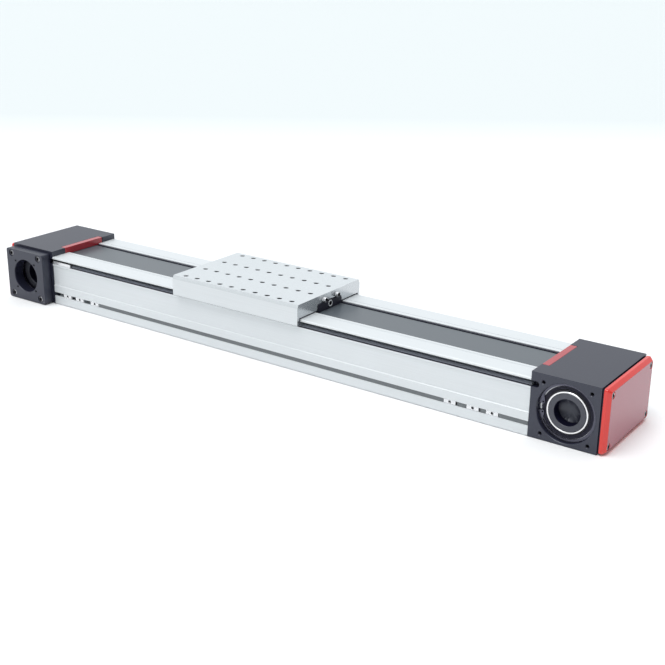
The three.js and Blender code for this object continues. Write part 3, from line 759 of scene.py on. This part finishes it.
def build_flange():
    """Motor flange with its pilot bore, four cap screws and four small tapped holes."""
    low, high = corners_mm("motor_flange")
    axle = AXLE["left"]
    outline = rounded_rectangle(low.x, high.x, low.z, high.z, 4)
    plate = new_object("flange_plate", add_prism(bmesh.new(), outline, "y", low.y, high.y))
    face = low.y
    bore = [(0, -2), (31.75, -2), (31.75, 0), (30.75, 1), (30.75, 25), (0, 25)]
    bores = add_turned(bmesh.new(), bore, "y", (axle.x, face, axle.z), ROUND)
    holes, threads = bmesh.new(), bmesh.new()
    heads = []
    for dx in (-1, 1):
        for dz in (-1, 1):
            place = (axle.x + dx * BOLT_X, face, axle.z + dz * BOLT_Z)
            profile = [
                (0, 25), (3.3, 25), (3.3, 6.8), (6.0, 6.8), (6.0, 0.4), (6.4, 0), (6.4, -1),
                (0, -1),
            ]
            add_turned(holes, profile, "y", place, 48)
            heads.append(place)
            motor = (axle.x + dx * MOTOR_BOLT, face, axle.z + dz * MOTOR_BOLT)
            hole_cutter(holes, "y", motor, 12, 2.1, 0.5, 28)
            add_thread(threads, "y", motor, 9, 2.1, 0.8, 0.6, 20)
    carve(plate, [bores, holes])
    dress(plate, BLACK, FRAME_BODY, "motor_flange", slot="black_anodised", edge=0.8, segments=3)
    sleeve = new_object("flange_threads", threads)
    dress(sleeve, DARK_STEEL_AND_HOLE_SHADE, FRAME_BODY, slot="black_anodised", angle=50)
    for number, (x, y, z) in enumerate(heads, 1):
        screw = socket_screw(
            f"flange_cap_screw_{number}", (x, y + 0.7, z), "y", -1, 4.9, 5.9, 2.9, 2.4,
        )
        dress(screw, BRIGHT, FRAME_BODY, f"flange_screw_{number}", slot="bright_steel", edge=0.15)
        paint_socket_shade(screw, (x, y, z), "y", 2.8)


# ---------------------------------------------------------------- bearings and pulleys


def build_bearing(end, face):
    """Two races, the seal between them, the shaft's lock ring and the spring ring."""
    axle, sign, tag = AXLE[end], FACE[face], f"{end}_{face}"
    centre = (axle.x, 0, axle.z)

    def at(profile):
        return [(radius, sign * height) for radius, height in profile]

    race = turned(
        f"outer_race_{tag}",
        at([
            (39.2, BEARING_IN), (42.0, BEARING_IN), (42.5, 59.2), (42.5, 71.2),
            (42.0, BEARING_OUT), (39.2, BEARING_OUT),
        ]),
        "y", centre,
    )
    dress(race, GROUND, FRAME_BODY, f"bearing_outer_{tag}", slot="ground_steel", angle=25)
    seal = turned(
        f"bearing_seal_{tag}",
        at([
            (34.0, 70.2), (39.3, 70.2), (39.3, 71.3), (38.2, 71.4), (37.6, 70.9), (36.4, 70.9),
            (35.8, 71.5), (34.6, 71.5), (34.0, 71.0),
        ]),
        "y", centre,
    )
    dress(seal, BLACK_RUBBER_AND_SHADE, FRAME_BODY, slot="wiper_rubber", angle=40)
    inner = turned(
        f"inner_race_{tag}",
        at([
            (30.0, BEARING_IN), (33.8, BEARING_IN), (33.8, 71.2), (33.3, BEARING_OUT),
            (30.0, BEARING_OUT),
        ]),
        "y", centre,
    )
    dress(
        inner, DARK_STEEL_AND_HOLE_SHADE, PULLEY_BODY[end], f"bearing_inner_{tag}", slot="ground_steel", angle=25,
    )
    lock = turned(
        f"lock_collar_{tag}",
        at([(28.7, 72.0), (31.4, 72.0), (31.4, 73.6), (31.0, 74.0), (29.1, 74.0), (28.7, 73.6)]),
        "y", centre,
    )
    dress(lock, LOCK[end], PULLEY_BODY[end], f"lock_ring_{tag}", slot="bright_steel", angle=25)
    build_retaining_ring(end, face)


def build_retaining_ring(end, face):
    """Blackened spring ring with two eyes, in the mouth in front of the bearing."""
    axle, sign = AXLE[end], FACE[face]
    opening, lug = 0.13, 0.15
    steps = 90
    bm = bmesh.new()
    outline = []
    for i in range(steps + 1):
        angle = math.pi + opening + (2 * math.pi - 2 * opening) * i / steps
        outline.append((43.8, angle))
    outline += [(35.8, math.pi - opening), (35.2, math.pi - opening - lug / 2)]
    outline += [(35.8, math.pi - opening - lug)]
    for i in range(steps - 5, 4, -1):
        angle = math.pi + opening + (2 * math.pi - 2 * opening) * i / steps
        reach = 40.4 - 0.9 * math.sin(math.pi * i / steps)
        outline.append((reach, angle))
    outline += [
        (35.8, math.pi + opening + lug), (35.2, math.pi + opening + lug / 2),
        (35.8, math.pi + opening),
    ]
    points = [
        (axle.x + radius * math.cos(angle), axle.z + radius * math.sin(angle))
        for radius, angle in outline
    ]
    y0, y1 = span(sign, 72.2, 73.9)
    add_prism(bm, points, "y", y0, y1)
    ring = new_object(f"spring_ring_{end}_{face}", bm)
    eyes = bmesh.new()
    for turn in (-1, 1):
        angle = math.pi + turn * (opening + lug / 2)
        spot = (axle.x + 37.6 * math.cos(angle), 0, axle.z + 37.6 * math.sin(angle))
        profile = [(0, y0 - 1), (1.25, y0 - 1), (1.25, y1 + 1), (0, y1 + 1)]
        add_turned(eyes, profile, "y", spot, 24)
    carve(ring, [eyes])
    replaced = ["retaining_ring_right"] if (end, face) == ("right", "front") else []
    dress(ring, SPRING, FRAME_BODY, *replaced, slot="spring_steel", edge=0.25)


def build_pulley(end):
    """Toothed pulley with flanges, bearing seats and a hollow shaft."""
    node = "pulley_drive" if end == "left" else "pulley_idler"
    axle = AXLE[end]
    count = TEETH * STEPS_PER_TOOTH
    tip, root = TOOTH_TIP, TOOTH_ROOT
    tooth = [root, root, tip - 0.5, tip, tip, tip, tip - 0.5, root]
    right = [
        (20.0, 74.0, 0), (20.5, 74.5, 0), (27.9, 74.5, 0), (28.4, 74.0, 0), (28.4, 71.8, 0),
        (29.8, 71.8, 0), (29.8, 58.4, 0), (33.0, 58.4, 0), (33.0, 34.7, 0), (41.2, 34.7, 0),
        (41.5, 34.3, 0), (39.6, 32.8, 0), (root, 32.8, 1),
    ]
    left = [(radius, -height, gear) for radius, height, gear in reversed(right)]
    bm = bmesh.new()
    rings = []
    for radius, height, gear in right + left:
        ring = []
        for i in range(count):
            angle = 2 * math.pi * (i - 4) / count
            reach = tooth[i % STEPS_PER_TOOTH] if gear else radius
            ring.append(bm.verts.new((
                axle.x + reach * math.cos(angle), height, axle.z + reach * math.sin(angle),
            )))
        rings.append(ring)
    for a, b in zip(rings, rings[1:] + rings[:1]):
        for i in range(count):
            j = (i + 1) % count
            bm.faces.new((a[i], a[j], b[j], b[i]))
    pulley = new_object(f"{node}_body", bm)
    dress(pulley, HUB[end], PULLEY_BODY[end], node, slot="hub_anodised", angle=28)
    bore_radius = 20.1
    # The faces inside the bore get the near-black colour: painted shade.
    paint_faces(
        pulley, BORE_PAINTED_SHADE,
        lambda centre, normal: math.hypot(centre.x - axle.x, centre.z - axle.z) < bore_radius,
    )


# ---------------------------------------------------------------- carriage


def build_carriage():
    """Carriage with a tunnel over the channel, skirts and tapped holes, all of one section."""
    low, high = corners_mm("carriage_plate")
    middle = (low.x + high.x) / 2
    half = [
        (27, 102), (29.6, 101.3), (31.4, 99.5), (32, 97), (32, 92), (82.5, 92), (82.5, 85.6),
        (43, 85.6), (43, 80), (86.9, 80), (87.5, 80.6), (87.5, 109), (84.5, 115),
    ]
    section = half + [(-y, z) for y, z in reversed(half)]
    plate = new_object(
        "carriage_body", add_prism(bmesh.new(), section, "x", low.x, high.x),
    )
    holes, threads = bmesh.new(), bmesh.new()
    for column in range(HOLE_COLUMNS):
        x = middle + (column - (HOLE_COLUMNS - 1) / 2) * HOLE_PITCH
        for y, depth in HOLE_ROWS:
            place = (x, y, high.z)
            hole_cutter(holes, "z", place, -depth, 4.25, 0.9)
            add_thread(threads, "z", place, -depth + 1, 4.25, 1.5, 1.1)
    ends = bmesh.new()
    screw = centre_mm("wiper_screw_right_b")
    for x in (low.x, high.x):
        for y in (-screw.y, screw.y):
            profile = [(0, x - 10), (2.5, x - 10), (2.5, x + 10), (0, x + 10)]
            add_turned(ends, profile, "x", (0, y, screw.z), 32)
    carve(plate, [holes, ends])
    dress(plate, CARRIAGE, CARRIAGE_BODY, "carriage_plate", slot="carriage_anodised", edge=0.35)
    paint_faces(plate, MILLED, lambda centre, normal: abs(normal.x) > 0.9)
    # The carriage's outer side faces get the profile's lighter colour: painted light on those
    # sides.
    paint_faces(
        plate, PROFILE_AND_SIDE_LIGHT, lambda centre, normal: abs(normal.y) > 0.9 and abs(centre.y) > HEAD_FACE,
    )
    # Dark steel threads in the silvery carriage's holes: painted shade in the holes.
    sleeve = new_object("carriage_threads", threads)
    dress(sleeve, DARK_STEEL_AND_HOLE_SHADE, CARRIAGE_BODY, slot="carriage_anodised", angle=50)


def build_carriage_end(end):
    """Wiper plate, lip seal in the gap over the profile, grease port and two cap screws."""
    side = SIDE[end]
    plate_low, plate_high = corners_mm("carriage_plate")
    face = plate_high.x if side > 0 else plate_low.x
    low, high = corners_mm(f"wiper_{end}")
    port_z = centre_mm(f"grease_port_{end}").z
    half = [
        (high.y, low.z), (high.y, 97.4), (32.5, 99.6), (30.9, 101.2), (28.2, high.z),
    ]
    section = half + [(-y, z) for y, z in reversed(half)]
    block = new_object(
        f"wiper_block_{end}", add_prism(bmesh.new(), section, "x", low.x, high.x),
    )
    port = [(0, -9), (5.9, -9), (5.9, 9), (0, 9)]
    carve(block, [add_turned(bmesh.new(), port, "x", (face, 0, port_z), 48)])
    dress(block, BLACK_RUBBER_AND_SHADE, CARRIAGE_BODY, f"wiper_{end}", slot="wiper_rubber", edge=0.5, segments=3)
    lips = bmesh.new()
    for sign in FACE.values():
        lip = [(33.6, 90.2), (80.2, 90.2), (80.2, 80.6), (82.3, 80.6), (82.3, 91.8), (33.6, 91.8)]
        add_prism(lips, [(sign * y, z) for y, z in lip], "x", face - side * 1.8, face + side * 0.1)
    seal = new_object(f"lip_seal_{end}", lips)
    dress(seal, BLACK_RUBBER_AND_SHADE, CARRIAGE_BODY, slot="wiper_rubber", edge=0.1)
    collar = [
        (0, -5.3), (5.6, -5.3), (5.6, 2.2), (5.2, 2.6), (4.2, 2.6), (3.6, 2.2), (3.4, -1.5),
        (0, -1.5),
    ]
    nipple = turned(
        f"grease_collar_{end}", [(radius, side * height) for radius, height in collar], "x",
        (face, 0, port_z), 64, False,
    )
    dress(nipple, BRIGHT, CARRIAGE_BODY, f"grease_port_{end}", slot="bright_steel", angle=25)
    # The faces inside the collar's bore get the dark steel colour: painted shade in the hole.
    paint_faces(
        nipple, DARK_STEEL_AND_HOLE_SHADE,
        lambda centre, normal: math.hypot(centre.y, centre.z - port_z) < 3.55,
    )
    for row in ("a", "b"):
        node = f"wiper_screw_{end}_{row}"
        head = centre_mm(node)
        screw = socket_screw(
            f"wiper_cap_screw_{end}_{row}", (face + side * 6.8, head.y, head.z), "x", side,
            4.25, 6.4, 2.6, 2.2,
        )
        dress(screw, BRIGHT, CARRIAGE_BODY, node, slot="bright_steel", edge=0.12)
        paint_socket_shade(screw, head, "x", 2.5)
    keep_node(f"belt_clamp_{end}", DARK_STEEL_AND_HOLE_SHADE, 0.5)


# ---------------------------------------------------------------- stage

SKY_LEVEL, SKY_LEAN = 0.52, 0.55
SKY_TOWARDS = (-0.60, 0.42, 0.68)
KEY_AIM = (0.05, 0.38, -1.0)
FLOOR_TOP, FLOOR_REACH = -0.8, 25000
CAMERA_PLACE, CAMERA_TARGET = (1.1259, -1.4695, 0.7060), (0.0985, -0.0097, 0.0500)
CAMERA_ROLL = 0.6


def floor_material():
    """White paper with painted shade that turns it a darker pale blue further behind the part."""
    g = Graph("studio_paper")
    g.set(Roughness=0.75, IOR=1.3)
    along = g.tree.nodes.new("ShaderNodeVectorMath")
    along.operation = "DOT_PRODUCT"
    g.link(g.place, along.inputs[0])
    along.inputs[1].default_value = (-0.575, 0.818, 0)
    far = g.spread(along.outputs["Value"], 0, 1, (1.3, 2.3))
    fibre = g.noise(g.place, scale=300, detail=3)
    white = g.blend(fibre, (0.955, 0.957, 0.96), (0.97, 0.972, 0.975))
    # Darker, bluer colour far behind the part: painted shade.
    pale = g.blend(fibre, (0.72, 0.765, 0.77), (0.73, 0.775, 0.78))
    g.colour(g.blend(far, white, pale))
    g.bump(fibre, 0.01)
    return g.material


def build_world():
    """Soft studio surround, brighter above and behind the part than at its right-hand end."""
    world = bpy.data.worlds.new("studio")
    world.use_nodes = True
    tree = world.node_tree
    place = tree.nodes.new("ShaderNodeTexCoord")
    lean = tree.nodes.new("ShaderNodeVectorMath")
    lean.operation = "DOT_PRODUCT"
    lean.inputs[1].default_value = SKY_TOWARDS
    tree.links.new(place.outputs["Generated"], lean.inputs[0])
    level = tree.nodes.new("ShaderNodeMapRange")
    level.inputs["From Min"].default_value = -1
    level.inputs["From Max"].default_value = 1
    level.inputs["To Min"].default_value = SKY_LEVEL - SKY_LEAN
    level.inputs["To Max"].default_value = SKY_LEVEL + SKY_LEAN
    tree.links.new(lean.outputs["Value"], level.inputs["Value"])
    background = tree.nodes["Background"]
    background.inputs["Color"].default_value = (0.94, 0.975, 1.0, 1)
    tree.links.new(level.outputs["Result"], background.inputs["Strength"])
    bpy.context.scene.world = world


def build_stage():
    """Paper floor just under the part, the surround and one soft key light."""
    outline = rectangle(-FLOOR_REACH, FLOOR_REACH, -FLOOR_REACH, FLOOR_REACH)
    bm = add_prism(bmesh.new(), outline, "z", -20, FLOOR_TOP)
    floor = new_object("studio_floor", bm)
    floor.data.materials.append(floor_material())
    build_world()
    key = bpy.data.lights.new("key", "SUN")
    key.energy = 0.55 * math.pi
    key.angle = math.radians(40)
    lamp = bpy.data.objects.new("key", key)
    lamp.rotation_mode = "QUATERNION"
    lamp.rotation_quaternion = Vector(KEY_AIM).to_track_quat("-Z", "Y")
    bpy.context.scene.collection.objects.link(lamp)


def build_camera():
    camera_data = bpy.data.cameras.new("camera")
    camera_data.sensor_width = 36
    camera_data.lens = 62.87
    camera_data.clip_end = 200
    camera = bpy.data.objects.new("camera", camera_data)
    place, target = Vector(CAMERA_PLACE), Vector(CAMERA_TARGET)
    camera.location = place
    camera.rotation_mode = "QUATERNION"
    aim = (target - place).to_track_quat("-Z", "Y")
    camera.rotation_quaternion = aim @ Quaternion((0, 0, 1), math.radians(CAMERA_ROLL))
    bpy.context.scene.collection.objects.link(camera)
    bpy.context.scene.camera = camera


build_camera()
build_stage()
build_profile()
build_slot_parts()
build_flange()
build_carriage()
for end_name in SIDE:
    build_head(end_name)
    build_bumper(end_name)
    build_cap(end_name)
    build_pulley(end_name)
    build_carriage_end(end_name)
    for face_name in FACE:
        build_bearing(end_name, face_name)

bpy.context.scene.view_settings.view_transform = "Standard"
